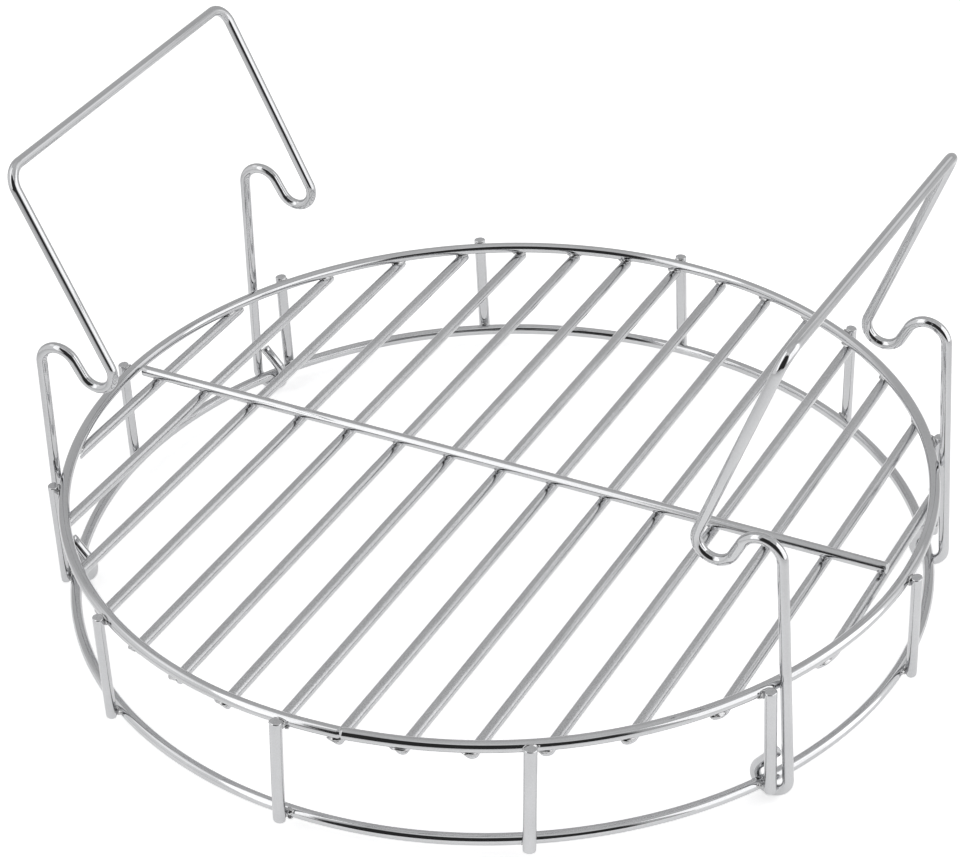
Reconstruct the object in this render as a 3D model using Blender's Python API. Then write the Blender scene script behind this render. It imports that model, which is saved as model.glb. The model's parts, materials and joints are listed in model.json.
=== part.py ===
"""Roasting basket: two wire rings on twelve posts, a bar grid and two swinging wire handles.

Metres, +Z up. The origin is on the rings' common axis at the level of the table. +X runs along
the cross bar to the right handle, +Y along the grid wires to the back. The basket stands on the
four open eyes in which the handles' wires end. The bottom ring passes through those eyes, so each
handle swings outwards about the line through its two eyes, from upright to flat on the table.
"""

from collections import namedtuple
from math import acos, atan2, ceil, cos, hypot, radians, sin, sqrt

import bmesh
import bpy
from mathutils import Matrix, Vector

# Wire
WIRE_DIAMETER = 0.0040
WELD_GAP = 0.0003            # room left between two wires that are welded or rest on each other
CUT_EDGE = 0.0004            # bevel round the cut end of a straight wire

# Rings and posts
RING_RADIUS = 0.1600         # both rings, to the middle of the wire
RING_SPACING = 0.0400        # bottom ring to top ring
POST_COUNT = 12
# How far each post was welded from its even place, in degrees, anticlockwise from the right handle
POST_DRIFT_DEG = (-0.9, 0.0, -1.1, -0.5, -0.4, 0.0, 0.7, 0.3, 0.2, 0.5, 0.5, 0.3)
# How far each post leans along the rings from upright, with its head anticlockwise of its foot
POST_LEAN_DEG = (-1.3, 0.0, -0.7, 1.0, 1.0, 0.8, 0.5, 0.9, -0.4, 2.9, 1.8, -1.6)

# Grid
GRID_WIRE_COUNT = 15
GRID_EDGE_ROOM = 0.0095      # middle of the outermost grid wire to the ring's side
GRID_FRONT_SETBACK = 0.0009  # the front ends are trimmed this far inside the ring's middle
GRID_BACK_OVERRUN = 0.0010   # the back ends are trimmed this far past it
BAR_LEFT_ROOM = 0.0018       # cross bar's left end to the ring's inner side
BAR_RIGHT_OVERRUN = 0.0020   # cross bar's right end past the middle of the last grid wire

# Handles, each one bent wire
EYE_PLAY = 0.0020            # room across an eye's hole beyond the ring's wire, on the radius
EYE_REST_GAP = 0.0009        # ring to the bottom of the eye, in line with the eye's middle
EYE_TURN_DEG = 222.0
EYE_TAIL = 0.0100
LEG_POST_GAP = 0.0052        # clear space between a leg and the post beside it
LEG_ABOVE_RING = 0.0504      # top ring to the start of the hook bend
HOOK_RADIUS = 0.0077
HOOK_TURN_DEG = 150.0
HOOK_TO_TROUGH = 0.0059
TROUGH_RADIUS = 0.0070
TROUGH_TURN_DEG = 176.0
SIDE_LENGTH = 0.0718
CORNER_RADIUS = 0.0075

# How each handle hangs: its turn about +Z, its slide along +Y, how far its eyes' middle lies
# outside the bottom ring's chord, and how far its troughs are bent open from the nominal turn
Hang = namedtuple("Hang", "turn_deg slide outset opened_deg")
HANGS = {
    "handle_right": Hang(turn_deg=-1.32, slide=-0.0033, outset=0.0008, opened_deg=1.9),
    "handle_left": Hang(turn_deg=181.26, slide=-0.00195, outset=0.0002, opened_deg=0.0),
}

# Faces
WIRE_SIDES = 12
RING_SEGMENTS = 96
BEND_STEP_DEG = 16.0

# Finish: bright chrome plate on steel wire
CHROME_COLOUR = (0.60, 0.60, 0.61, 1.0)
CHROME_ROUGHNESS = 0.12

# Derived sizes
WIRE_RADIUS = WIRE_DIAMETER / 2
CONTACT = WIRE_DIAMETER + WELD_GAP          # middle to middle of two wires that meet
EYE_RADIUS = WIRE_DIAMETER + EYE_PLAY
EYE_Z = EYE_RADIUS + WIRE_RADIUS
BOTTOM_RING_Z = EYE_Z - EYE_RADIUS + WIRE_DIAMETER + EYE_REST_GAP
TOP_RING_Z = BOTTOM_RING_Z + RING_SPACING
GRID_Z = TOP_RING_Z - CONTACT
BAR_Z = GRID_Z + CONTACT
POST_CIRCLE = RING_RADIUS + CONTACT
POST_ANGLE = radians(360.0 / POST_COUNT)
POST_LENGTH = RING_SPACING + WIRE_DIAMETER
POST_MIDDLE_Z = (BOTTOM_RING_Z + TOP_RING_Z) / 2
LAST_GRID_X = RING_RADIUS - GRID_EDGE_ROOM
GRID_PITCH = 2 * LAST_GRID_X / (GRID_WIRE_COUNT - 1)
GRID_FRONT_TRIM = RING_RADIUS - GRID_FRONT_SETBACK
GRID_BACK_TRIM = RING_RADIUS + GRID_BACK_OVERRUN
HANDLE_HALF_WIDTH = POST_CIRCLE * sin(POST_ANGLE) - WIRE_DIAMETER - LEG_POST_GAP
LEG_LENGTH = TOP_RING_Z + LEG_ABOVE_RING - EYE_Z

UP = Vector((0, 0, 1))
ALONG_AXIS = Vector((0, 1, 0))              # a handle's own axis, through its two eyes


def clear_scene():
    for obj in list(bpy.data.objects):
        bpy.data.objects.remove(obj, do_unlink=True)


def chrome(name):
    """A chrome material of the sub-part's own."""
    material = bpy.data.materials.new(name)
    material.use_nodes = True
    shader = material.node_tree.nodes["Principled BSDF"]
    shader.inputs["Base Color"].default_value = CHROME_COLOUR
    shader.inputs["Metallic"].default_value = 1.0
    shader.inputs["Roughness"].default_value = CHROME_ROUGHNESS
    return material


def add_ring(name, height):
    """A closed ring of wire round the basket's axis."""
    bpy.ops.mesh.primitive_torus_add(
        major_radius=RING_RADIUS,
        minor_radius=WIRE_RADIUS,
        major_segments=RING_SEGMENTS,
        minor_segments=WIRE_SIDES,
        location=(0, 0, height),
    )
    ring = bpy.context.object
    ring.name = name
    ring.data.shade_smooth()
    ring.data.materials.append(chrome(name))
    return ring


def round_bar(length):
    """A plain round bar along Z, and the edges round its two ends."""
    bar = bmesh.new()
    bmesh.ops.create_cone(
        bar, cap_ends=True, segments=WIRE_SIDES, radius1=WIRE_RADIUS, radius2=WIRE_RADIUS, depth=length
    )
    end_edges = [edge for edge in bar.edges if abs(edge.verts[0].co.z - edge.verts[1].co.z) < length / 2]
    return bar, end_edges


def wire_mesh(name, bar, end_edges):
    """The bar with the edges of its cut ends rounded off, as a mesh that is smooth along its sides."""
    sides = [face for face in bar.faces if abs(face.normal.z) < 0.1]
    for face in sides:
        face.smooth = True
    bmesh.ops.bevel(bar, geom=end_edges, offset=CUT_EDGE, segments=1, affect="EDGES")
    mesh = bpy.data.meshes.new(name)
    bar.to_mesh(mesh)
    bar.free()
    return mesh


def link_wire(name, mesh):
    """An object for the wire, in chrome of its own."""
    wire = bpy.data.objects.new(name, mesh)
    mesh.materials.append(chrome(name))
    bpy.context.collection.objects.link(wire)
    return wire


def add_straight_wire(name, start, end):
    """A straight wire, cut square, from one cut end's middle to the other's."""
    span = end - start
    wire = link_wire(name, wire_mesh(name, *round_bar(span.length)))
    wire.location = (start + end) / 2
    wire.rotation_euler = span.to_track_quat("Z", "Y").to_euler()
    return wire


def add_trimmed_wire(name, x):
    """A grid wire along Y, trimmed at both ends to the ring's round outline."""
    bar, end_edges = round_bar(2 * RING_RADIUS)
    for corner in bar.verts:
        trim_radius = GRID_FRONT_TRIM if corner.co.z > 0 else GRID_BACK_TRIM
        reach = sqrt(trim_radius**2 - (x + corner.co.x) ** 2)
        corner.co.z = reach if corner.co.z > 0 else -reach
    wire = link_wire(name, wire_mesh(name, bar, end_edges))
    wire.location = (x, 0, GRID_Z)
    wire.rotation_euler = (radians(90), 0, 0)
    return wire


def add_posts():
    """Wires welded outside both rings, with their cut ends level with the rings."""
    for index in range(POST_COUNT):
        drift = radians(POST_DRIFT_DEG[index % len(POST_DRIFT_DEG)])
        lean = radians(POST_LEAN_DEG[index % len(POST_LEAN_DEG)])
        angle = index * POST_ANGLE + drift
        middle = Vector((POST_CIRCLE * cos(angle), POST_CIRCLE * sin(angle), POST_MIDDLE_Z))
        along_ring = Vector((-sin(angle), cos(angle), 0))
        half = (UP * cos(lean) + along_ring * sin(lean)) * POST_LENGTH / 2
        add_straight_wire(f"post_{index + 1:02d}", middle - half, middle + half)


def add_grid():
    """Parallel wires welded under the top ring."""
    for number in range(GRID_WIRE_COUNT):
        add_trimmed_wire(f"grid_wire_{number + 1:02d}", number * GRID_PITCH - LAST_GRID_X)


def add_cross_bar():
    """One wire across the middle, on top of the grid wires and inside the ring."""
    left = -(RING_RADIUS - WIRE_RADIUS - BAR_LEFT_ROOM)
    right = LAST_GRID_X + BAR_RIGHT_OVERRUN
    add_straight_wire("cross_bar", Vector((left, 0, BAR_Z)), Vector((right, 0, BAR_Z)))


def run(path, heading, length):
    """Carry the path straight on."""
    path.append(path[-1] + heading * length)


def bend(path, heading, axis, radius, turn_deg):
    """Carry the path round a bend about the axis, and give back its new heading."""
    centre = path[-1] + axis.cross(heading) * radius
    arm = path[-1] - centre
    steps = ceil(turn_deg / BEND_STEP_DEG)
    for step in range(1, steps + 1):
        path.append(centre + Matrix.Rotation(radians(turn_deg) * step / steps, 3, axis) @ arm)
    return Matrix.Rotation(radians(turn_deg), 3, axis) @ heading


def eye_path(foot):
    """The open eye: from the leg's foot, under the ring, up its inner side and back to the leg."""
    path = [foot]
    heading = bend(path, -UP, ALONG_AXIS, EYE_RADIUS, EYE_TURN_DEG)
    run(path, heading, EYE_TAIL)
    return path


def handle_path(trough_turn_deg):
    """The whole wire of one handle. X is outwards and the origin is midway between its eyes."""
    foot = Vector((EYE_RADIUS, -HANDLE_HALF_WIDTH, 0))
    half = eye_path(foot)[::-1]
    heading = UP.copy()
    run(half, heading, LEG_LENGTH)
    heading = bend(half, heading, -ALONG_AXIS, HOOK_RADIUS, HOOK_TURN_DEG)
    run(half, heading, HOOK_TO_TROUGH)
    heading = bend(half, heading, ALONG_AXIS, TROUGH_RADIUS, trough_turn_deg)
    run(half, heading, SIDE_LENGTH)
    bend(half, heading, heading.cross(ALONG_AXIS), CORNER_RADIUS, 90.0)
    other_half = [Vector((point.x, -point.y, point.z)) for point in reversed(half)]
    return half + other_half


def wire_curve(name, path):
    """A round wire along the path, with closed ends."""
    curve = bpy.data.curves.new(name, "CURVE")
    curve.dimensions = "3D"
    curve.twist_mode = "MINIMUM"
    curve.bevel_depth = WIRE_RADIUS
    curve.bevel_resolution = WIRE_SIDES // 2 - 2
    curve.use_fill_caps = True
    spline = curve.splines.new("POLY")
    spline.points.add(len(path) - 1)
    for point, place in zip(spline.points, path):
        point.co = (*place, 1.0)
    spline.use_smooth = True
    return curve


def chord_x():
    """How far from the middle the bottom ring passes through a handle's eyes."""
    return sqrt(RING_RADIUS**2 - HANDLE_HALF_WIDTH**2)


def axis_middle(hang):
    """The point midway between a handle's eyes."""
    side = 1 if cos(radians(hang.turn_deg)) > 0 else -1
    return Vector((side * (chord_x() + hang.outset), hang.slide, EYE_Z))


def leg_lean(hang, end):
    """Inward tilt, in radians, that brings one leg against the top ring's outer side."""
    turn = radians(hang.turn_deg)
    outwards = Vector((cos(turn), sin(turn)))
    foot = axis_middle(hang).xy + Vector((-sin(turn), cos(turn))) * HANDLE_HALF_WIDTH * end
    along = foot.dot(outwards)
    reach = sqrt(along**2 - foot.length_squared + (RING_RADIUS + CONTACT) ** 2) - along
    height = TOP_RING_Z - EYE_Z
    return atan2(height, reach) - acos(EYE_RADIUS / hypot(reach, height))


def rest_lean(hang):
    """The tilt at which the first of the two legs meets the top ring."""
    return min(leg_lean(hang, -1), leg_lean(hang, 1))


def add_handle(name, hang):
    """One handle at rest, with its origin on the axis through its eyes."""
    path = handle_path(TROUGH_TURN_DEG - hang.opened_deg)
    handle = bpy.data.objects.new(name, wire_curve(name, path))
    handle.location = axis_middle(hang)
    handle.rotation_euler = (0, -rest_lean(hang), radians(hang.turn_deg))
    handle.data.materials.append(chrome(name))
    bpy.context.collection.objects.link(handle)
    return handle


def main():
    clear_scene()
    add_ring("bottom_ring", BOTTOM_RING_Z)
    add_ring("top_ring", TOP_RING_Z)
    add_posts()
    add_grid()
    add_cross_bar()
    for name, hang in HANGS.items():
        add_handle(name, hang)


main()
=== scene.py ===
"""Dresses the roasting basket: chromed wires with real bends, cut ends and welds, in a studio."""

import json
from collections import namedtuple
from math import acos, atan2, ceil, cos, degrees, hypot, pi, radians, sin, sqrt

import bpy
from bpy.props import FloatProperty, FloatVectorProperty, IntProperty, PointerProperty
from bpy.types import Operator, Panel, PropertyGroup
from mathutils import Matrix, Vector, noise


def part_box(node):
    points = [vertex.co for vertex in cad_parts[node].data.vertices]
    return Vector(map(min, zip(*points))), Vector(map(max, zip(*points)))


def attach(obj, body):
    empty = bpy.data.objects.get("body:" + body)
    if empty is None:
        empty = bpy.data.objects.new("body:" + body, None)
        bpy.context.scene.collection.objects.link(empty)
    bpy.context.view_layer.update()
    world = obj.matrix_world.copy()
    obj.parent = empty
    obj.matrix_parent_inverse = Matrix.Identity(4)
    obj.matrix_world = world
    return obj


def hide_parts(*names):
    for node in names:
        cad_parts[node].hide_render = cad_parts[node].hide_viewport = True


bl_info = {
    "name": "Roasting basket",
    "version": (1, 0, 0),
    "blender": (4, 5, 0),
    "location": "3D View > Sidebar > Basket",
    "description": "Builds the chromed wires, welds and studio of a round roasting basket",
    "category": "Object",
}

UP = Vector((0, 0, 1))
ALONG_AXIS = Vector((0, 1, 0))

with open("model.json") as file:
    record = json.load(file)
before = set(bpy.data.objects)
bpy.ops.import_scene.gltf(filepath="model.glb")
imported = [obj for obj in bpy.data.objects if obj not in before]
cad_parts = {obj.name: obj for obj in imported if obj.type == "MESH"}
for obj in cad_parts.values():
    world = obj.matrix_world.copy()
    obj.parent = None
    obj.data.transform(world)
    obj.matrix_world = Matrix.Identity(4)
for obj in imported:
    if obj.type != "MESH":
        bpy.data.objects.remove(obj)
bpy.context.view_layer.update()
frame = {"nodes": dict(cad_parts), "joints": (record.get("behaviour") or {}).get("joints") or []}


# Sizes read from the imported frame

def middle(node):
    """The middle of a CAD node's box."""
    low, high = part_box(node)
    return (low + high) / 2


def extent(node):
    """The lengths of a CAD node's box."""
    low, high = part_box(node)
    return high - low


def cut_ends(node):
    """The middles of a straight wire's lower and upper cut ends."""
    corners = [corner.co for corner in frame["nodes"][node].data.vertices]
    middle_z = middle(node).z
    low = [corner for corner in corners if corner.z < middle_z]
    high = [corner for corner in corners if corner.z >= middle_z]
    low_middle = sum(low, Vector()) / len(low)
    high_middle = sum(high, Vector()) / len(high)
    heading = (high_middle - low_middle).normalized()
    foot = min((corner - low_middle).dot(heading) for corner in low)
    head = max((corner - high_middle).dot(heading) for corner in high)
    return low_middle + heading * foot, high_middle + heading * head


def nodes_named(start):
    return sorted(name for name in frame["nodes"] if name.startswith(start))


WIRE_DIAMETER = extent("top_ring").z
RING_RADIUS = (extent("top_ring").x - WIRE_DIAMETER) / 2
TOP_RING_Z = middle("top_ring").z
BOTTOM_RING_Z = middle("bottom_ring").z
GRID_Z = middle("grid_wire_01").z
POST_NODES = nodes_named("post_")
GRID_NODES = nodes_named("grid_wire_")
HANDLE_NODES = nodes_named("handle_")
JOINTS = {joint["child"]: joint for joint in frame["joints"]}
WELD_LEVEL = (TOP_RING_Z + GRID_Z) / 2       # where the grid wires touch the top ring and the bar
HANDLE_WIRE_RADIUS = WIRE_DIAMETER / 2 - 0.00003    # thinner by a hair, to stay in the CAD's box

# How finely the wires are drawn
RING_STATIONS = 720
SEAM_STATIONS = 9                            # fine stations on either side of the seam
BEND_STEP_DEG = 3
LONG_STEP = 0.003                            # between stations on a leg, a side or a straight wire
SHORT_STEP = 0.002                           # between stations on an eye's tail or the link
EDGE_STEPS = 5                               # over the rounding of a cut end
END_RINGS = (0.45, 0.94)                     # loops on a cut end, as shares of its flat's radius
BALL_RINGS = 12
BALL_SPOKES = 16

# Which line through the noise each wire wanders along
TOP_RING_SEED = 0.0
BOTTOM_RING_SEED = 4.0
POST_SEED = 20
GRID_SEED = 40
BAR_SEED = 70
RING_LIFT_OFFSET = Vector((9.1, 3.7, 5.3))   # from a ring's noise in its plane to that in height

# Steps and levels in the noise. None is a whole number, since the noise is 0 at whole points
LINE_SPACING = 7.31
NOISE_LEVEL = 0.37
NUMBER_SPACING = 3.37
DRAW_SPACING = 5.13
LUCK_LEVEL = 0.41

# Nodules that the photograph shows beside a post's welds: side (1 is anticlockwise), rise and size,
# each as a share of what POST_NODULE gives
SEEN_NODULES = {
    ("post_01", "bottom"): ((-1, 0.4, 0.8),),
    ("post_01", "top"): (),
    ("post_09", "bottom"): ((1, 0.5, 0.8),),
    ("post_09", "top"): (),
    ("post_10", "bottom"): ((1, 0.8, 1.0), (1, -0.9, 0.6)),
    ("post_10", "top"): ((1, -1.0, 0.55),),
    ("post_11", "bottom"): (),
    ("post_11", "top"): ((1, 0.5, 0.35),),
    ("post_12", "bottom"): ((-1, 0.5, 0.8),),
    ("post_12", "top"): ((-1, -0.5, 0.6), (1, 0.2, 0.5)),
}

# Sizes of a nodule beside a post, as shares of the flash's reach: how far out it can lie along the
# ring and up the post, how large it can be, and how far it leans to the ring
PostNodule = namedtuple("PostNodule", "aside rise size lean")
POST_NODULE = PostNodule(aside=1.15, rise=0.65, size=0.52, lean=-0.15)

# Sizes of a flash, as shares of the reach, the reach and the height in WeldSpots
Flash = namedtuple("Flash", "along across through")
POST_FLASH = Flash(1.0, 0.85, 1.0)
GRID_FLASH = Flash(1.25, 0.85, 1.7)
BAR_FLASH = Flash(0.55, 0.55, 0.7)

GRID_FLASH_SPREAD = 0.12                     # how far the length along the ring can differ
NODULE_STRETCH = 1.25                        # a nodule's length along the ring over its size
LIKELY_SIZE, LIKELY_SPREAD = 0.5, 0.25       # of a nodule that the photograph can't show

# The unevenness of weld metal, coarse then fine: scale over the ball, scale of its place, which
# gives each ball its own draw, and share of the lumps
Lumps = namedtuple("Lumps", "over_ball over_place share")
WELD_LUMPS = (Lumps(1.7, 900, 1.0), Lumps(4.1, 1300, 0.5))

# Surface relief and tone of each kind of chrome: die lines and ripple, speckle, and relief's depth
Finish = namedtuple("Finish", "lines ripple speckle depth")
FINISHES = {
    "bright": Finish(0.35, 0.25, 0.18, 0.000012),
    "satin": Finish(0.8, 0.8, 0.62, 0.000022),
    "cut": Finish(0.0, 1.0, 0.5, 0.00009),
    "weld": Finish(0.0, 1.0, 0.4, 0.00006),
}

# The plating's patterns. DIE_LINES is per metre along the wire and per turn round it, and a Pattern
# is its scale per metre and its octaves
DIE_LINES = (60, 26, 1)
Pattern = namedtuple("Pattern", "scale detail")
LINE_PATTERN = Pattern(1.0, 3.0)
RIPPLE_PATTERN = Pattern(900.0, 2.0)
CLOUD_PATTERN = Pattern(42.0, 4.0)
SPECKLE_PATTERN = Pattern(2400.0, 1.0)
HAZE_RANGES = (0.3, 0.75), (0.8, 1.5)        # from clouds to a factor on roughness
TONE_RANGES = (0.3, 0.7), (0.94, 1.03)       # from clouds to a factor on colour

# Regions of the studio's walls: width as azimuths anticlockwise of the camera's side, and height as
# elevations. soft is half the width of the blurred edge. All in degrees.
Span = namedtuple("Span", "low high soft")
FROM_BELOW = -120                            # below every elevation, so the edge never shows
WALL_REGIONS = {
    "left_glow": (Span(-121, -54, 12), Span(FROM_BELOW, 50, 20)),
    "right_glow": (Span(88, 112, 12), Span(FROM_BELOW, 50, 20)),
    "left_band": (Span(-134, -84, 8), Span(35, 53, 4)),
}
# These two sink to the right of the camera's side, by up to DROOP
DROOPED_RIM = (Span(-45, 38, 8), Span(60, 73, 4))
DROOPED_UNLIT = (Span(-49, 29, 2.5), Span(-7, 61, 4))
DROOP = 16
DROOP_START, DROOP_END = -4, 22
CEILING_START, CEILING_END = 45, 80

# Lamps: the directions of the two ends of their middle line as degrees anticlockwise from +X and
# degrees above the floor, then width and distance in metres
Lamp = namedtuple("Lamp", "near_end far_end width distance")
LAMPS = {
    "left_panel": Lamp((-111, 4), (-164, 67), 0.52, 1.9),
    "right_panel": Lamp((-25, 19), (33, 19), 0.92, 1.1),
    "back_card": Lamp((53.6, 31.3), (74.2, 45.3), 0.17, 0.96),
}


# Sizes and colours that a user would change

def length(name, description, metres):
    return FloatProperty(
        name=name, description=description, default=metres, unit="LENGTH", precision=5,
    )


def angle(name, description, in_degrees):
    return FloatProperty(
        name=name, description=description, default=radians(in_degrees), subtype="ANGLE",
    )


def factor(name, description, share):
    return FloatProperty(
        name=name, description=description, default=share, subtype="FACTOR", min=0, max=1,
    )


def brightness(name, description, level):
    return FloatProperty(name=name, description=description, default=level, min=0)


def plate_colour(name, description, rgb):
    return FloatVectorProperty(
        name=name, description=description, default=rgb, subtype="COLOR", size=3, min=0, max=1,
    )


class BasketWire(PropertyGroup):
    """How the wire is drawn, cut and laid."""

    radius: length("Handle wire radius", "Half the gauge of the handles' wire", HANDLE_WIRE_RADIUS)
    heavy_radius: length("Basket wire radius", "Half the gauge of rings, grid and bar", 0.00213)
    post_radius: length("Post radius", "Half a post's thickness, out from the ring", 0.00193)
    post_spread: FloatProperty(
        name="Post spread", description="A post's width over its thickness", default=1.19,
    )
    cut_edge: length("Cut edge", "Rounding of a sheared end after plating", 0.00045)
    trimmed_edge: length("Trimmed edge", "Rounding of a grid wire's trimmed end", 0.0003)
    foot_edge: length("Post foot edge", "Rounding of the lower end of a post", 0.0009)
    bow: length("Bow", "How far a straight wire wanders from true", 0.00012)
    bow_wave: length("Bow wave", "Length over which it wanders", 0.055)
    ring_wander: length("Ring wander", "How far a rolled ring wanders from true", 0.00022)
    ring_wave: length("Ring wave", "Length over which the ring wanders", 0.09)
    seam_angle: angle("Seam", "Where the top ring's ends are butt welded", 278.5)
    seam_rise: length("Seam rise", "How far the ring's ends stand out at the seam", 0.00025)
    seam_reach: length("Seam reach", "Length of each straight end beside the seam", 0.011)
    seam_groove: length("Seam groove", "Depth of the groove at the seam", 0.0004)
    seam_width: length("Seam width", "Half width of the groove at the seam", 0.0007)
    seam_step: length("Seam step", "Spacing of the ring's stations at the seam", 0.00014)
    sides: IntProperty(name="Sides", description="Faces round the wire", default=36, min=8, max=64)


class HandleBends(PropertyGroup):
    """The bends of one handle's wire, as in the frame."""

    eye_radius: length("Eye radius", "Middle of the wire round an eye", 0.0060)
    eye_turn: angle("Eye turn", "How far the wire turns round the bottom ring", 222)
    eye_tail: length("Eye tail", "Straight end of the wire beyond the eye", 0.0100)
    half_width: length("Half width", "Handle's middle to one leg", 0.07295)
    leg_above_ring: length("Leg above ring", "Top ring to the hook bend", 0.0504)
    hook_radius: length("Hook radius", "Bend at the top of a leg", 0.0077)
    hook_turn: angle("Hook turn", "How far that bend turns", 150)
    link: length("Link", "Straight wire between the two S bends", 0.0059)
    trough_radius: length("Trough radius", "Bend at the bottom of the S", 0.0070)
    trough_turn: angle("Trough turn", "How far that bend turns", 176)
    opened: angle("Opened", "How far the right handle's troughs are opened from that", 1.9)
    side: length("Side", "Straight side of the handle's loop", 0.0718)
    corner_radius: length("Corner radius", "Top corners of the loop", 0.0075)


class WeldSpots(PropertyGroup):
    """The metal squeezed out where two wires are welded."""

    reach: length("Reach", "Half length of the flash along the ring", 0.0024)
    height: length("Height", "Half thickness of the flash", 0.0007)
    lumps: factor("Lumps", "How uneven the flash is", 0.3)


class ChromeLook(PropertyGroup):
    """The plating."""

    colour: plate_colour("Chrome", "Colour of the plate", (0.585, 0.588, 0.598))
    weld_colour: plate_colour("Weld", "Colour of the plate over a weld", (0.55, 0.55, 0.555))
    bright: factor("Bright roughness", "Roughness of the handles and rings", 0.065)
    satin: factor("Satin roughness", "Roughness of the grid wires", 0.13)
    cut: factor("Cut roughness", "Roughness of a sheared end", 0.32)
    weld: factor("Weld roughness", "Roughness over a weld", 0.17)


class StudioLight(PropertyGroup):
    """Camera, floor and light."""

    azimuth: angle("Camera azimuth", "Turn of the camera from the basket's front", 28.634)
    elevation: angle("Camera elevation", "Height of the camera above the floor", 33.766)
    roll: angle("Camera roll", "Tilt of the camera", -2.246)
    distance: length("Camera distance", "Camera to the aim point's plane", 1.04157)
    aim_right: length("Aim right", "Aim point to the right of the basket's middle", -0.00795)
    aim_up: length("Aim up", "Aim point above the bottom ring's middle", 0.04640)
    lens: FloatProperty(
        name="Lens", description="Focal length in millimetres", default=103.22, unit="CAMERA",
    )
    wall: brightness("Wall", "Brightness of the studio's grey walls", 0.56)
    ceiling: brightness("Ceiling", "Brightness overhead", 0.68)
    unlit: brightness("Unlit side", "Brightness behind the camera", 0.035)
    rim: brightness("Rim", "Brightness added above the unlit side", 0.3)
    left_glow: brightness("Left glow", "Brightness added round the left panel", 0.36)
    right_glow: brightness("Right glow", "Brightness added beside the right panel", 0.6)
    left_band: brightness("Left band", "Brightness added in a band beyond the left panel", 0.45)
    left_panel: brightness("Left panel", "Brightness added by the left lamp", 0.86)
    right_panel: brightness("Right panel", "Brightness added by the right lamp", 1.03)
    back_card: brightness("Back card", "Brightness added by the small lamp behind", 0.38)
    floor_fill: factor("Floor fill", "White added to the floor as seen", 0.5)
    # Painted light: a glow added to the floor only in reflections, a pool of light round the basket
    # that fades between the next two distances
    mirrored_floor_glow: factor("Mirrored floor", "White added to the floor in reflections", 0.36)
    floor_size: length("Floor", "Half width of the floor", 0.56)
    mirror_near: length("Mirrored near", "Where the floor in reflections starts to darken", 0.2)
    mirror_far: length("Mirrored far", "Where the floor in reflections has darkened", 0.45)


# Shapes of wire

def wander(distance, wave, seed):
    """Smooth noise from -1 to 1 along a wire, from the seed's own line through the noise."""
    return noise.noise(Vector((distance / wave, seed * LINE_SPACING, NOISE_LEVEL)))


def run(path, heading, distance, step):
    """Carry the path straight on, in short steps."""
    start = path[-1]
    steps = max(1, ceil(distance / step))
    for number in range(1, steps + 1):
        path.append(start + heading * distance * number / steps)


def bend(path, heading, axis, radius, turn):
    """Carry the path round a bend about the axis, and give back its new heading."""
    centre = path[-1] + axis.cross(heading) * radius
    arm = path[-1] - centre
    steps = max(4, ceil(degrees(turn) / BEND_STEP_DEG))
    for number in range(1, steps + 1):
        path.append(centre + Matrix.Rotation(turn * number / steps, 3, axis) @ arm)
    return Matrix.Rotation(turn, 3, axis) @ heading


def tangents(path, closed):
    """The heading at each point of a path."""
    count = len(path)
    found = []
    for number in range(count):
        before = path[number - 1] if closed or number else path[0]
        after = path[(number + 1) % count] if closed or number < count - 1 else path[-1]
        found.append((after - before).normalized())
    return found


def carried_normals(along, first):
    """Normals carried with no twist along the headings of an open path."""
    normal = (first - along[0] * first.dot(along[0])).normalized()
    normals = [normal]
    for number in range(1, len(along)):
        turn = along[number - 1].rotation_difference(along[number])
        normal = turn @ normal
        normal = (normal - along[number] * normal.dot(along[number])).normalized()
        normals.append(normal)
    return normals


def end_profile(radius, edge):
    """Distances inwards from a cut end and the radius there, from its middle to the full round."""
    flat = radius - edge
    profile = [(0.0, flat * share) for share in END_RINGS]
    for number in range(1, EDGE_STEPS + 1):
        swing = radians(90) * number / EDGE_STEPS
        profile.append((edge * (1 - cos(swing)), flat + edge * sin(swing)))
    return profile


def with_ends(path, edges, radius):
    """Stations along an open wire as place, heading and radius, with rounded cut ends."""
    along = tangents(path, False)
    stations = [(path[n], along[n], radius) for n in range(1, len(path) - 1)]
    head_profile = end_profile(radius, edges[0])
    tail_profile = end_profile(radius, edges[1])
    head = [(path[0] + along[0] * inwards, along[0], size) for inwards, size in head_profile]
    tail = [(path[-1] - along[-1] * inwards, along[-1], size) for inwards, size in tail_profile]
    return head + stations + tail[::-1]


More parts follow.
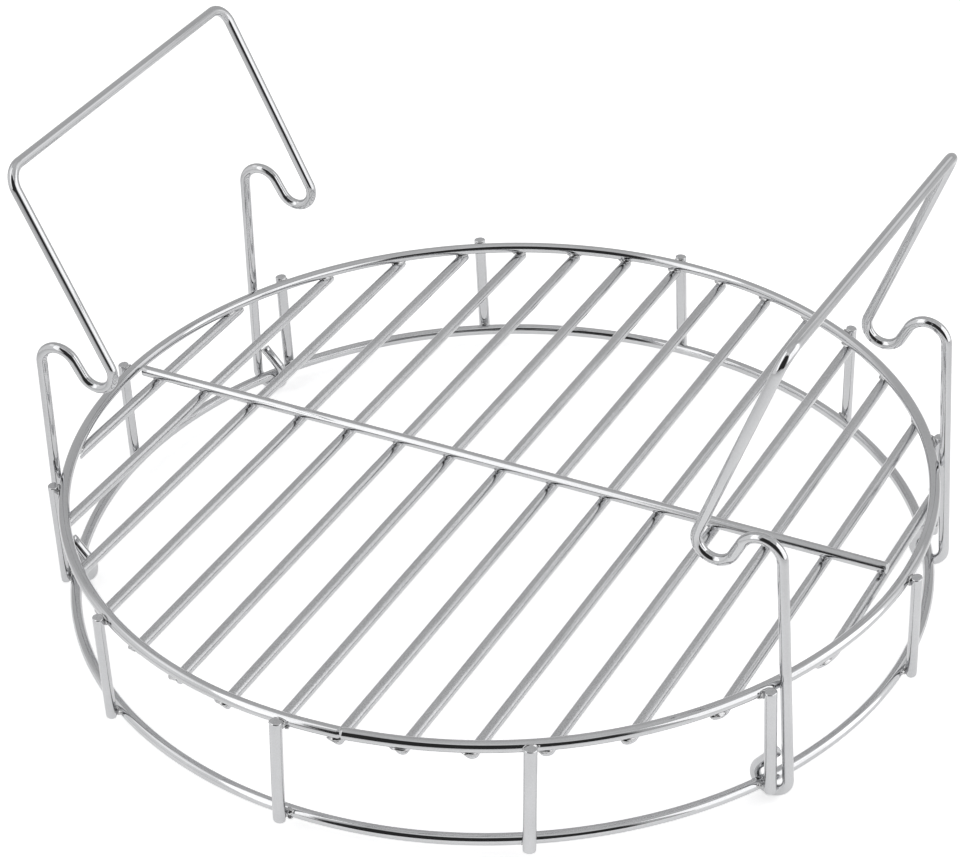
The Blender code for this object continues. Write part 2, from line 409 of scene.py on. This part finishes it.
def skin(name, stations, normals, sides, closed):
    """A smooth mesh through round stations. Cut ends take the second material.

    The UVs are the length along the wire and the place round it.
    """
    verts = []
    faces = []
    marks = []
    travelled = 0.0
    for number, (place, heading, radius) in enumerate(stations):
        if number:
            travelled += (place - stations[number - 1][0]).length
        marks.append(travelled)
        across = heading.cross(normals[number])
        for side in range(sides):
            swing = 2 * pi * side / sides
            verts.append(place + (normals[number] * cos(swing) + across * sin(swing)) * radius)
    rows = len(stations)
    if closed:
        marks.append(travelled + (stations[0][0] - stations[-1][0]).length)
    coordinates = []
    for row in range(rows if closed else rows - 1):
        below = row * sides
        above = ((row + 1) % rows) * sides
        for side in range(sides):
            beside = (side + 1) % sides
            faces.append((below + side, below + beside, above + beside, above + side))
            left, right = side / sides, (side + 1) / sides
            low, high = marks[row], marks[row + 1]
            coordinates += [(low, left), (low, right), (high, right), (high, left)]
    if not closed:
        for row, order in ((0, -1), (rows - 1, 1)):
            centre = len(verts)
            verts.append(stations[row][0])
            for side in range(sides):
                pair = (row * sides + side, row * sides + (side + 1) % sides)
                faces.append((*pair[::order], centre))
                coordinates += [(marks[row], side / sides)] * 3
    mesh = bpy.data.meshes.new(name)
    mesh.from_pydata(verts, [], faces)
    if not closed:
        wall_faces = sides * (rows - 1)
        for face in mesh.polygons:
            if face.index < sides or face.index >= wall_faces - sides:
                face.material_index = 1
    layer = mesh.uv_layers.new(name="wire")
    layer.data.foreach_set("uv", [value for pair in coordinates for value in pair])
    mesh.shade_smooth()
    return mesh


def place_object(name, data):
    """A new object in the scene, instead of an older one of that name."""
    old = bpy.data.objects.get(name)
    if old is not None:
        bpy.data.objects.remove(old)
    obj = bpy.data.objects.new(name, data)
    bpy.context.scene.collection.objects.link(obj)
    return obj


def show(name, mesh, kind, body, *nodes):
    """Show a piece in one kind of chrome, which rides on a body and stands for its CAD nodes."""
    piece = place_object(name, mesh)
    mesh.materials.append(chrome(kind))
    if any(face.material_index for face in mesh.polygons):
        mesh.materials.append(chrome("cut"))
    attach(piece, body)
    if nodes:
        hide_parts(*nodes)


# Materials

def math_node(nodes, links, operation, *values):
    """The result of a math node on numbers or on other nodes' outputs."""
    node = nodes.new("ShaderNodeMath")
    node.operation = operation
    for number, value in enumerate(values):
        if isinstance(value, (int, float)):
            node.inputs[number].default_value = value
        else:
            links.new(value, node.inputs[number])
    return node.outputs[0]


def noise_node(nodes, links, place, pattern):
    node = nodes.new("ShaderNodeTexNoise")
    node.inputs["Scale"].default_value = pattern.scale
    node.inputs["Detail"].default_value = pattern.detail
    links.new(place, node.inputs["Vector"])
    return node.outputs["Fac"]


def range_node(nodes, links, value, source, target):
    """A value carried from one range to another, and held at its ends."""
    node = nodes.new("ShaderNodeMapRange")
    for socket, limit in zip(("From Min", "From Max", "To Min", "To Max"), (*source, *target)):
        node.inputs[socket].default_value = limit
    links.new(value, node.inputs["Value"])
    return node.outputs["Result"]


def drawn_plate_group():
    """Shared effect: die lines along the wire, ripple, fine speckle and faint clouding."""
    if "drawn plate" in bpy.data.node_groups:
        return bpy.data.node_groups["drawn plate"]
    group = bpy.data.node_groups.new("drawn plate", "ShaderNodeTree")
    for name in ("Colour", "Roughness", "Lines", "Ripple", "Speckle"):
        kind = "NodeSocketColor" if name == "Colour" else "NodeSocketFloat"
        group.interface.new_socket(name=name, in_out="INPUT", socket_type=kind)
    for name in ("Colour", "Roughness", "Height"):
        kind = "NodeSocketColor" if name == "Colour" else "NodeSocketFloat"
        group.interface.new_socket(name=name, in_out="OUTPUT", socket_type=kind)
    nodes = group.nodes
    links = group.links
    given = nodes.new("NodeGroupInput").outputs
    out = nodes.new("NodeGroupOutput").inputs

    uv = nodes.new("ShaderNodeUVMap")
    uv.uv_map = "wire"
    stretch = nodes.new("ShaderNodeMapping")
    stretch.inputs["Scale"].default_value = DIE_LINES
    links.new(uv.outputs["UV"], stretch.inputs["Vector"])
    lines = noise_node(nodes, links, stretch.outputs["Vector"], LINE_PATTERN)
    place = nodes.new("ShaderNodeTexCoord").outputs["Object"]
    ripple = noise_node(nodes, links, place, RIPPLE_PATTERN)
    lines_height = math_node(nodes, links, "MULTIPLY", lines, given["Lines"])
    height = math_node(nodes, links, "MULTIPLY_ADD", ripple, given["Ripple"], lines_height)
    links.new(height, out["Height"])

    cloud = noise_node(nodes, links, place, CLOUD_PATTERN)
    haze = range_node(nodes, links, cloud, *HAZE_RANGES)
    links.new(math_node(nodes, links, "MULTIPLY", given["Roughness"], haze), out["Roughness"])

    tone = range_node(nodes, links, cloud, *TONE_RANGES)
    speckle = noise_node(nodes, links, place, SPECKLE_PATTERN)
    grain = math_node(nodes, links, "SUBTRACT", speckle, 0.5)
    grain = math_node(nodes, links, "MULTIPLY", grain, given["Speckle"])
    tint = nodes.new("ShaderNodeVectorMath")
    tint.operation = "SCALE"
    links.new(given["Colour"], tint.inputs["Vector"])
    links.new(math_node(nodes, links, "ADD", tone, grain), tint.inputs["Scale"])
    links.new(tint.outputs["Vector"], out["Colour"])
    return group


def new_chrome(name):
    """A material that shows the shared effect on bare metal."""
    material = bpy.data.materials.new(name)
    material.use_nodes = True
    nodes = material.node_tree.nodes
    links = material.node_tree.links
    shader = nodes["Principled BSDF"]
    shader.inputs["Metallic"].default_value = 1.0
    effect = nodes.new("ShaderNodeGroup")
    effect.name = "effect"
    effect.node_tree = drawn_plate_group()
    relief = nodes.new("ShaderNodeBump")
    relief.name = "relief"
    relief.inputs["Strength"].default_value = 1.0
    links.new(effect.outputs["Colour"], shader.inputs["Base Color"])
    links.new(effect.outputs["Roughness"], shader.inputs["Roughness"])
    links.new(effect.outputs["Height"], relief.inputs["Height"])
    links.new(relief.outputs["Normal"], shader.inputs["Normal"])
    return material


def chrome(kind):
    """The material for one kind of surface in FINISHES, with the plating's present settings."""
    look = bpy.context.scene.basket_chrome
    name = kind + " chrome"
    material = bpy.data.materials.get(name) or new_chrome(name)
    finish = FINISHES[kind]
    effect = material.node_tree.nodes["effect"].inputs
    effect["Colour"].default_value = (*(look.weld_colour if kind == "weld" else look.colour), 1)
    effect["Roughness"].default_value = getattr(look, kind)
    effect["Lines"].default_value = finish.lines
    effect["Ripple"].default_value = finish.ripple
    effect["Speckle"].default_value = finish.speckle
    material.node_tree.nodes["relief"].inputs["Distance"].default_value = finish.depth
    return material


# Straight wires and rings

def bowed(start, end, seed):
    """A nearly straight path, which wanders a little between its two ends."""
    wire = bpy.context.scene.basket_wire
    span = end - start
    heading = span.normalized()
    sideways = heading.orthogonal().normalized()
    upwards = heading.cross(sideways)
    steps = max(8, ceil(span.length / LONG_STEP))
    path = []
    for number in range(steps + 1):
        distance = span.length * number / steps
        fade = sin(pi * number / steps) ** 0.5
        shift = sideways * wander(distance, wire.bow_wave, seed)
        shift += upwards * wander(distance, wire.bow_wave, seed + 0.5)
        path.append(start + heading * distance + shift * wire.bow * fade)
    return path


def open_wire_mesh(name, path, edges, radius, first_normal=None):
    """An open wire along a path, with two cut ends."""
    stations = with_ends(path, edges, radius)
    along = [heading for place, heading, size in stations]
    if first_normal is None:
        first_normal = along[0].orthogonal()
    normals = carried_normals(along, first_normal)
    return skin(name, stations, normals, bpy.context.scene.basket_wire.sides, False)


def ring_turns(seam):
    """Where a ring's stations lie, close together at its seam."""
    wire = bpy.context.scene.basket_wire
    turns = [2 * pi * number / RING_STATIONS for number in range(RING_STATIONS)]
    if seam is not None:
        step = wire.seam_step / RING_RADIUS
        turns = [turn for turn in turns if abs(turn - seam) > (SEAM_STATIONS + 0.5) * step]
        turns += [seam + number * step for number in range(-SEAM_STATIONS, SEAM_STATIONS + 1)]
    return sorted(turns)


def ring_mesh(name, height, seed, seam):
    """A rolled ring, and its butt-welded seam where one is given."""
    wire = bpy.context.scene.basket_wire
    stations = []
    normals = []
    for turn in ring_turns(seam):
        outwards = Vector((cos(turn), sin(turn), 0))
        radius = RING_RADIUS
        size = wire.heavy_radius
        round_trip = Vector((cos(turn), sin(turn), seed)) * RING_RADIUS / wire.ring_wave
        radius += wire.ring_wander * noise.noise(round_trip)
        lift = wire.ring_wander * noise.noise(round_trip + RING_LIFT_OFFSET)
        if seam is not None:
            away = abs(turn - seam) * RING_RADIUS
            if away < wire.seam_reach:
                radius += wire.seam_rise * (1 - away / wire.seam_reach) ** 2
            if away < wire.seam_width:
                size -= wire.seam_groove * (1 - away / wire.seam_width)
        place = outwards * radius + Vector((0, 0, height + lift))
        stations.append((place, size))
        normals.append(outwards)
    places = [place for place, size in stations]
    along = tangents(places, True)
    normals = [(n - t * n.dot(t)).normalized() for n, t in zip(normals, along)]
    stations = [(place, t, size) for (place, size), t in zip(stations, along)]
    return skin(name, stations, normals, wire.sides, True)


class BASKET_OT_rings(Operator):
    """Build the top and bottom rings"""

    bl_idname = "basket.rings"
    bl_label = "Rings"

    def execute(self, context):
        seam = context.scene.basket_wire.seam_angle
        for node, height, seed, seam_angle in (
            ("top_ring", TOP_RING_Z, TOP_RING_SEED, seam),
            ("bottom_ring", BOTTOM_RING_Z, BOTTOM_RING_SEED, None),
        ):
            mesh = ring_mesh(node + "_wire", height, seed, seam_angle)
            show(node + "_wire", mesh, "bright", "basket", node)
        return {"FINISHED"}


def spread_post(mesh, foot, head, spread):
    """Widen a post along the ring, as if the welding had pressed it flatter."""
    lean = (head - foot).normalized()
    across = lean.cross(Vector((foot.x, foot.y, 0))).normalized()
    for corner in mesh.vertices:
        corner.co += across * (corner.co - foot).dot(across) * (spread - 1)


class BASKET_OT_posts(Operator):
    """Build the upright posts with their sheared ends"""

    bl_idname = "basket.posts"
    bl_label = "Posts"

    def execute(self, context):
        wire = context.scene.basket_wire
        for number, node in enumerate(POST_NODES):
            foot, head = cut_ends(node)
            path = bowed(foot, head, POST_SEED + number)
            edges = (wire.foot_edge, wire.cut_edge)
            mesh = open_wire_mesh(node + "_wire", path, edges, wire.post_radius)
            spread_post(mesh, foot, head, wire.post_spread)
            show(node + "_wire", mesh, "bright", "basket", node)
        return {"FINISHED"}


def grid_reach(node, wire):
    """Where a grid wire's middle line lies, and how far it reaches to the front and to the back.

    The node's box gives the reach of the side that lies nearest the basket's middle, where the
    round outline is furthest out.
    """
    low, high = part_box(node)
    x = (low.x + high.x) / 2
    near_side = min(abs(low.x), abs(high.x)) if abs(x) > wire.radius else 0
    return x, sqrt(low.y**2 + near_side**2 - x**2), sqrt(high.y**2 + near_side**2 - x**2)


def trim_to_ring(mesh, x, front, back):
    """Slide a grid wire's points along it, so that both cuts follow the ring's round outline."""
    for corner in mesh.vertices:
        reach = front if corner.co.y < 0 else back
        trim_radius = hypot(x, reach)
        corner.co.y *= sqrt(trim_radius**2 - corner.co.x**2) / reach


class BASKET_OT_grid(Operator):
    """Build the parallel grid wires, trimmed to the ring's outline"""

    bl_idname = "basket.grid"
    bl_label = "Grid wires"

    def execute(self, context):
        wire = context.scene.basket_wire
        for number, node in enumerate(GRID_NODES):
            x, front, back = grid_reach(node, wire)
            path = bowed(Vector((x, -front, GRID_Z)), Vector((x, back, GRID_Z)), GRID_SEED + number)
            edges = (wire.trimmed_edge, wire.trimmed_edge)
            mesh = open_wire_mesh(node + "_wire", path, edges, wire.heavy_radius)
            trim_to_ring(mesh, x, front, back)
            show(node + "_wire", mesh, "satin", "basket", node)
        return {"FINISHED"}


class BASKET_OT_cross_bar(Operator):
    """Build the bar across the grid wires"""

    bl_idname = "basket.cross_bar"
    bl_label = "Cross bar"

    def execute(self, context):
        wire = context.scene.basket_wire
        low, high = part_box("cross_bar")
        centre = middle("cross_bar")
        start = Vector((low.x, centre.y, centre.z))
        end = Vector((high.x, centre.y, centre.z))
        path = bowed(start, end, BAR_SEED)
        edges = (wire.cut_edge, wire.cut_edge)
        mesh = open_wire_mesh("cross_bar_wire", path, edges, wire.heavy_radius)
        show("cross_bar_wire", mesh, "bright", "basket", "cross_bar")
        return {"FINISHED"}


# Handles

def handle_half(bends, axis_height, trough_turn):
    """One half of a handle's wire: from the eye's cut end to the middle of the top bar."""
    eye = [Vector((bends.eye_radius, -bends.half_width, 0))]
    heading = bend(eye, -UP, ALONG_AXIS, bends.eye_radius, bends.eye_turn)
    run(eye, heading, bends.eye_tail, SHORT_STEP)
    half = eye[::-1]
    heading = UP.copy()
    run(half, heading, TOP_RING_Z + bends.leg_above_ring - axis_height, LONG_STEP)
    heading = bend(half, heading, -ALONG_AXIS, bends.hook_radius, bends.hook_turn)
    run(half, heading, bends.link, SHORT_STEP)
    heading = bend(half, heading, ALONG_AXIS, bends.trough_radius, trough_turn)
    run(half, heading, bends.side, LONG_STEP)
    heading = bend(half, heading, heading.cross(ALONG_AXIS), bends.corner_radius, pi / 2)
    run(half, heading, bends.half_width - bends.corner_radius, LONG_STEP)
    return half


def leg_lean(axis_middle, turn, bends, end):
    """Inward tilt that brings one leg against the top ring's outer side, a weld's gap away."""
    contact = abs(TOP_RING_Z - GRID_Z)
    outwards = Vector((cos(turn), sin(turn)))
    foot = axis_middle.xy + Vector((-sin(turn), cos(turn))) * bends.half_width * end
    along = foot.dot(outwards)
    reach = sqrt(along**2 - foot.length_squared + (RING_RADIUS + contact) ** 2) - along
    height = TOP_RING_Z - axis_middle.z
    return atan2(height, reach) - acos(bends.eye_radius / hypot(reach, height))


def handle_place(node, bends):
    """Where a handle rests: on its joint's axis, tipped in against the top ring."""
    joint = JOINTS[node]
    axis_middle = Vector(joint["pos_m"])
    axis = Vector(joint["axis"])
    turn = atan2(-axis.x, axis.y)
    lean = min(leg_lean(axis_middle, turn, bends, end) for end in (-1, 1))
    tipped = Matrix.Rotation(turn, 4, "Z") @ Matrix.Rotation(-lean, 4, "Y")
    return Matrix.Translation(axis_middle) @ tipped


def handle_mesh(name, node):
    scene = bpy.context.scene
    bends = scene.basket_handle
    wire = scene.basket_wire
    trough_turn = bends.trough_turn - (bends.opened if node == "handle_right" else 0)
    half = handle_half(bends, JOINTS[node]["pos_m"][2], trough_turn)
    other_half = [Vector((point.x, -point.y, point.z)) for point in reversed(half[:-1])]
    place = handle_place(node, bends)
    path = [place @ point for point in half + other_half]
    edges = (wire.cut_edge, wire.cut_edge)
    return open_wire_mesh(name, path, edges, wire.radius, place.to_3x3() @ ALONG_AXIS)


class BASKET_OT_handles(Operator):
    """Build both bent-wire handles, resting against the top ring"""

    bl_idname = "basket.handles"
    bl_label = "Handles"

    def execute(self, context):
        for node in HANDLE_NODES:
            if node not in JOINTS:
                raise RuntimeError(f"{node} has no joint in the frame")
            show(node + "_wire", handle_mesh(node + "_wire", node), "bright", node, node)
        return {"FINISHED"}


# Welds

def sphere_points(rings, spokes):
    """Unit directions and faces of a ball, poles on Z."""
    points = [Vector((0, 0, -1))]
    for ring in range(1, rings):
        tilt = pi * ring / rings - pi / 2
        for spoke in range(spokes):
            swing = 2 * pi * spoke / spokes
            points.append(Vector((cos(tilt) * cos(swing), cos(tilt) * sin(swing), sin(tilt))))
    points.append(Vector((0, 0, 1)))
    faces = []
    last = len(points) - 1
    for spoke in range(spokes):
        beside = (spoke + 1) % spokes
        faces.append((0, 1 + beside, 1 + spoke))
        top = 1 + (rings - 2) * spokes
        faces.append((top + spoke, top + beside, last))
        for ring in range(rings - 2):
            low = 1 + ring * spokes
            high = low + spokes
            faces.append((low + spoke, low + beside, high + beside, high + spoke))
    return points, faces


BALL_POINTS, BALL_FACES = sphere_points(BALL_RINGS, BALL_SPOKES)


def add_bead(verts, faces, centre, axes, lumps):
    """One bead of weld metal: a ball stretched along three axes and made uneven."""
    first = len(verts)
    for point in BALL_POINTS:
        uneven = 1
        for layer in WELD_LUMPS:
            where = point * layer.over_ball + centre * layer.over_place
            uneven += lumps * layer.share * noise.noise(where)
        verts.append(centre + (axes[0] * point.x + axes[1] * point.y + axes[2] * point.z) * uneven)
    faces.extend(tuple(first + corner for corner in face) for face in BALL_FACES)


def add_weld(verts, faces, centre, axes, sizes, nodules):
    """The flash squeezed out between two wires, and the nodules that stand beside it.

    The axes run along the carrying wire, along the other wire, and from one to the other. A nodule
    is given by its place along the first two, its size, and how far it leans towards the third.
    """
    spots = bpy.context.scene.basket_welds
    add_bead(verts, faces, centre, [axis * size for axis, size in zip(axes, sizes)], spots.lumps)
    for along, across, size, through in nodules:
        place = centre + axes[0] * along + axes[1] * across + axes[2] * through
        stretched = (axes[0] * size * NODULE_STRETCH, axes[1] * size, axes[2] * size)
        add_bead(verts, faces, place, stretched, spots.lumps)


def weld_object(name, welds):
    """One object for a group of welds."""
    verts = []
    faces = []
    for weld in welds:
        add_weld(verts, faces, *weld)
    mesh = bpy.data.meshes.new(name)
    mesh.from_pydata(verts, [], faces)
    mesh.shade_smooth()
    show(name, mesh, "weld", "basket")


def luck(number, draw):
    """A repeatable draw from about -1 to 1."""
    return 2 * noise.noise(Vector((number * NUMBER_SPACING, draw * DRAW_SPACING, LUCK_LEVEL)))


def post_nodules(node, ring, reach):
    """Nodules beside a post's weld: those seen in the photograph, and a likely one elsewhere."""
    number = int(node[-2:])
    seen = SEEN_NODULES.get((node, ring))
    if seen is None:
        side = 1 if luck(number, len(ring)) > 0 else -1
        size = LIKELY_SIZE + LIKELY_SPREAD * luck(number, 3)
        seen = ((side, luck(number, 2), size),)
    return [
        (
            side * reach * POST_NODULE.aside,
            rise * reach * POST_NODULE.rise,
            size * reach * POST_NODULE.size,
            reach * POST_NODULE.lean,
        )
        for side, rise, size in seen
    ]


def flash_sizes(flash):
    """A flash's half sizes along, across and through its weld."""
    spots = bpy.context.scene.basket_welds
    return spots.reach * flash.along, spots.reach * flash.across, spots.height * flash.through


def post_welds():
    """Welds between the posts and both rings."""
    reach = bpy.context.scene.basket_welds.reach
    found = []
    for node in POST_NODES:
        foot, head = cut_ends(node)
        lean = (head - foot).normalized()
        for ring, height in (("bottom", BOTTOM_RING_Z), ("top", TOP_RING_Z)):
            place = foot + lean * (height - foot.z) / lean.z
            outwards = Vector((place.x, place.y, 0)).normalized()
            contact = outwards * (RING_RADIUS + place.xy.length) / 2 + UP * height
            axes = (UP.cross(outwards), lean, outwards)
            found.append((contact, axes, flash_sizes(POST_FLASH), post_nodules(node, ring, reach)))
    return found


def grid_welds():
    """Welds between the grid wires and the top ring, no two of the same length."""
    found = []
    for number, node in enumerate(GRID_NODES):
        x = middle(node).x
        for side in (-1, 1):
            place = Vector((x, side * sqrt(RING_RADIUS**2 - x**2), WELD_LEVEL))
            outwards = Vector((place.x, place.y, 0)).normalized()
            axes = (UP.cross(outwards), outwards, UP)
            along = GRID_FLASH.along + GRID_FLASH_SPREAD * luck(number, side)
            sizes = flash_sizes(GRID_FLASH._replace(along=along))
            found.append((place, axes, sizes, ()))
    return found


def bar_welds():
    """Welds between the grid wires and the cross bar."""
    axes = (Vector((1, 0, 0)), Vector((0, 1, 0)), UP)
    sizes = flash_sizes(BAR_FLASH)
    return [(Vector((middle(node).x, 0, WELD_LEVEL)), axes, sizes, ()) for node in GRID_NODES]


class BASKET_OT_welds(Operator):
    """Build the weld spots at every crossing"""

    bl_idname = "basket.welds"
    bl_label = "Weld spots"

    def execute(self, context):
        weld_object("post_welds", post_welds())
        weld_object("grid_welds", grid_welds())
        weld_object("bar_welds", bar_welds())
        return {"FINISHED"}


# Studio

def direction(azimuth, elevation):
    """A unit vector from degrees anticlockwise from +X and degrees above the floor."""
    turn = radians(azimuth)
    rise = radians(elevation)
    return Vector((cos(rise) * cos(turn), cos(rise) * sin(turn), sin(rise)))


def floor_material(studio):
    """Plain white floor: the object's shadow stays, and the rest is white as seen.

    In reflections the floor glows, a painted pool of light: white near the basket and greyer
    further off.
    """
    material = bpy.data.materials.new("pale floor")
    material.use_nodes = True
    nodes = material.node_tree.nodes
    links = material.node_tree.links
    shader = nodes["Principled BSDF"]
    shader.inputs["Base Color"].default_value = (0.93, 0.93, 0.93, 1)
    shader.inputs["Roughness"].default_value = 0.9
    shader.inputs["Specular IOR Level"].default_value = 0.0
    shader.inputs["Emission Color"].default_value = (1, 1, 1, 1)
    place = nodes.new("ShaderNodeTexCoord")
    distance = nodes.new("ShaderNodeVectorMath")
    distance.operation = "LENGTH"
    links.new(place.outputs["Object"], distance.inputs[0])
    # Painted light: the floor glows in reflections, brightest near the basket, as a painted pool of
    # light
    fade = (studio.mirror_near, studio.mirror_far)
    near = range_node(nodes, links, distance.outputs["Value"], fade, (studio.mirrored_floor_glow, 0.0))
    path = nodes.new("ShaderNodeLightPath").outputs
    seen = math_node(nodes, links, "MULTIPLY", path["Is Camera Ray"], studio.floor_fill)
    mirrored_glow = math_node(nodes, links, "MULTIPLY", path["Is Glossy Ray"], near)
    links.new(math_node(nodes, links, "ADD", seen, mirrored_glow), shader.inputs["Emission Strength"])
    return material


def add_floor(studio):
    half = studio.floor_size
    mesh = bpy.data.meshes.new("floor")
    corners = [(-half, -half, 0), (half, -half, 0), (half, half, 0), (-half, half, 0)]
    mesh.from_pydata(corners, [], [(0, 1, 2, 3)])
    mesh.materials.append(floor_material(studio))
    place_object("floor", mesh)


def soft_step(nodes, links, value, low, high):
    """0 below low, 1 above high, smooth between. Both in degrees."""
    node = nodes.new("ShaderNodeMapRange")
    node.interpolation_type = "SMOOTHSTEP"
    node.inputs["From Min"].default_value = radians(low)
    node.inputs["From Max"].default_value = radians(high)
    links.new(value, node.inputs["Value"])
    return node.outputs["Result"]


def window(nodes, links, value, span):
    """1 inside the span, 0 outside, with soft edges."""
    rising = soft_step(nodes, links, value, span.low - span.soft, span.low + span.soft)
    falling = soft_step(nodes, links, value, span.high - span.soft, span.high + span.soft)
    return math_node(nodes, links, "SUBTRACT", rising, falling)


def region(nodes, links, azimuth, elevation, width, height):
    """1 inside a region of the surroundings, 0 outside."""
    across = window(nodes, links, azimuth, width)
    upwards = window(nodes, links, elevation, height)
    return math_node(nodes, links, "MULTIPLY", across, upwards)


def build_world(studio):
    """Grey walls with lighter regions, a lighter ceiling, and an unlit side behind the camera.

    The camera itself sees plain white.
    """
    world = bpy.data.worlds.new("studio")
    bpy.context.scene.world = world
    world.use_nodes = True
    nodes = world.node_tree.nodes
    links = world.node_tree.links
    nodes.clear()
    place = nodes.new("ShaderNodeTexCoord")
    faced = nodes.new("ShaderNodeVectorRotate")
    faced.rotation_type = "Z_AXIS"
    faced.inputs["Angle"].default_value = radians(90) - studio.azimuth
    links.new(place.outputs["Generated"], faced.inputs["Vector"])
    split = nodes.new("ShaderNodeSeparateXYZ")
    links.new(faced.outputs["Vector"], split.inputs[0])
    azimuth = math_node(nodes, links, "ARCTAN2", split.outputs["Y"], split.outputs["X"])
    elevation = math_node(nodes, links, "ARCSINE", split.outputs["Z"])

    overhead = soft_step(nodes, links, elevation, CEILING_START, CEILING_END)
    rise = studio.ceiling - studio.wall
    walls = math_node(nodes, links, "MULTIPLY_ADD", overhead, rise, studio.wall)
    for name, (width, height) in WALL_REGIONS.items():
        inside = region(nodes, links, azimuth, elevation, width, height)
        walls = math_node(nodes, links, "MULTIPLY_ADD", inside, getattr(studio, name), walls)

    droop = soft_step(nodes, links, azimuth, DROOP_START, DROOP_END)
    drooped = math_node(nodes, links, "MULTIPLY_ADD", droop, radians(DROOP), elevation)
    rim = region(nodes, links, azimuth, drooped, *DROOPED_RIM)
    walls = math_node(nodes, links, "MULTIPLY_ADD", rim, studio.rim, walls)
    unlit = region(nodes, links, azimuth, drooped, *DROOPED_UNLIT)
    lit = math_node(nodes, links, "SUBTRACT", 1.0, unlit)
    surroundings = math_node(nodes, links, "MULTIPLY_ADD", walls, lit, studio.unlit)

    path = nodes.new("ShaderNodeLightPath")
    strength = nodes.new("ShaderNodeMix")
    strength.data_type = "FLOAT"
    links.new(path.outputs["Is Camera Ray"], strength.inputs["Factor"])
    links.new(surroundings, strength.inputs["A"])
    strength.inputs["B"].default_value = 1.0
    background = nodes.new("ShaderNodeBackground")
    background.inputs["Color"].default_value = (0.995, 0.998, 1.0, 1)
    links.new(strength.outputs["Result"], background.inputs["Strength"])
    out = nodes.new("ShaderNodeOutputWorld")
    links.new(background.outputs[0], out.inputs["Surface"])


def add_lamp(name, lamp, strength):
    """A rectangular area lamp whose middle line runs between two directions from the basket."""
    near_end = direction(*lamp.near_end) * lamp.distance
    far_end = direction(*lamp.far_end) * lamp.distance
    centre = (near_end + far_end) / 2
    light = bpy.data.lights.new(name, "AREA")
    light.shape = "RECTANGLE"
    light.size = (far_end - near_end).length
    light.size_y = lamp.width
    light.energy = strength * pi * light.size * light.size_y
    long_side = (far_end - near_end).normalized()
    away = (centre - long_side * centre.dot(long_side)).normalized()
    turn = Matrix((long_side, away.cross(long_side), away)).transposed()
    obj = place_object(name, light)
    obj.matrix_world = Matrix.Translation(centre) @ turn.to_4x4()
    obj.visible_camera = False


def add_camera(studio):
    """The camera at the photograph's place."""
    azimuth = studio.azimuth
    elevation = studio.elevation
    back = Vector((cos(elevation) * sin(azimuth), -cos(elevation) * cos(azimuth), sin(elevation)))
    level = Vector((cos(azimuth), sin(azimuth), 0))
    upright = back.cross(level)
    right = level * cos(studio.roll) + upright * sin(studio.roll)
    top = upright * cos(studio.roll) - level * sin(studio.roll)
    place = back * studio.distance + right * studio.aim_right + top * studio.aim_up
    place.z += BOTTOM_RING_Z
    data = bpy.data.cameras.new("camera")
    data.sensor_width = 36
    data.lens = studio.lens
    data.clip_start = 0.01
    camera = place_object("camera", data)
    turn = Matrix((right, top, back)).transposed()
    camera.matrix_world = Matrix.Translation(place) @ turn.to_4x4()
    bpy.context.scene.camera = camera


class BASKET_OT_studio(Operator):
    """Build the floor, the grey surroundings, the lamps and the camera"""

    bl_idname = "basket.studio"
    bl_label = "Studio"

    def execute(self, context):
        studio = context.scene.basket_studio
        add_floor(studio)
        build_world(studio)
        for name, lamp in LAMPS.items():
            add_lamp(name.replace("_", " "), lamp, getattr(studio, name))
        add_camera(studio)
        context.scene.view_settings.view_transform = "Standard"
        return {"FINISHED"}


OPERATORS = (
    BASKET_OT_rings,
    BASKET_OT_posts,
    BASKET_OT_grid,
    BASKET_OT_cross_bar,
    BASKET_OT_handles,
    BASKET_OT_welds,
    BASKET_OT_studio,
)


class BASKET_PT_panel(Panel):
    """Lists the basket's operators and sizes"""

    bl_label = "Roasting basket"
    bl_idname = "BASKET_PT_panel"
    bl_space_type = "VIEW_3D"
    bl_region_type = "UI"
    bl_category = "Basket"

    def draw(self, context):
        for operator in OPERATORS:
            self.layout.operator(operator.bl_idname)
        for group in GROUPS:
            box = self.layout.box()
            settings = getattr(context.scene, group)
            for name in settings.bl_rna.properties.keys():
                if name not in ("rna_type", "name"):
                    box.prop(settings, name)


GROUPS = {
    "basket_wire": BasketWire,
    "basket_handle": HandleBends,
    "basket_welds": WeldSpots,
    "basket_chrome": ChromeLook,
    "basket_studio": StudioLight,
}


def register():
    for name, group in GROUPS.items():
        bpy.utils.register_class(group)
        setattr(bpy.types.Scene, name, PointerProperty(type=group))
    for operator in OPERATORS:
        bpy.utils.register_class(operator)
    bpy.utils.register_class(BASKET_PT_panel)


def unregister():
    bpy.utils.unregister_class(BASKET_PT_panel)
    for operator in reversed(OPERATORS):
        bpy.utils.unregister_class(operator)
    for name, group in reversed(GROUPS.items()):
        delattr(bpy.types.Scene, name)
        bpy.utils.unregister_class(group)


def main():
    register()
    bpy.ops.basket.rings()
    bpy.ops.basket.posts()
    bpy.ops.basket.grid()
    bpy.ops.basket.cross_bar()
    bpy.ops.basket.handles()
    bpy.ops.basket.welds()
    bpy.ops.basket.studio()


if __name__ == "__main__":
    main()
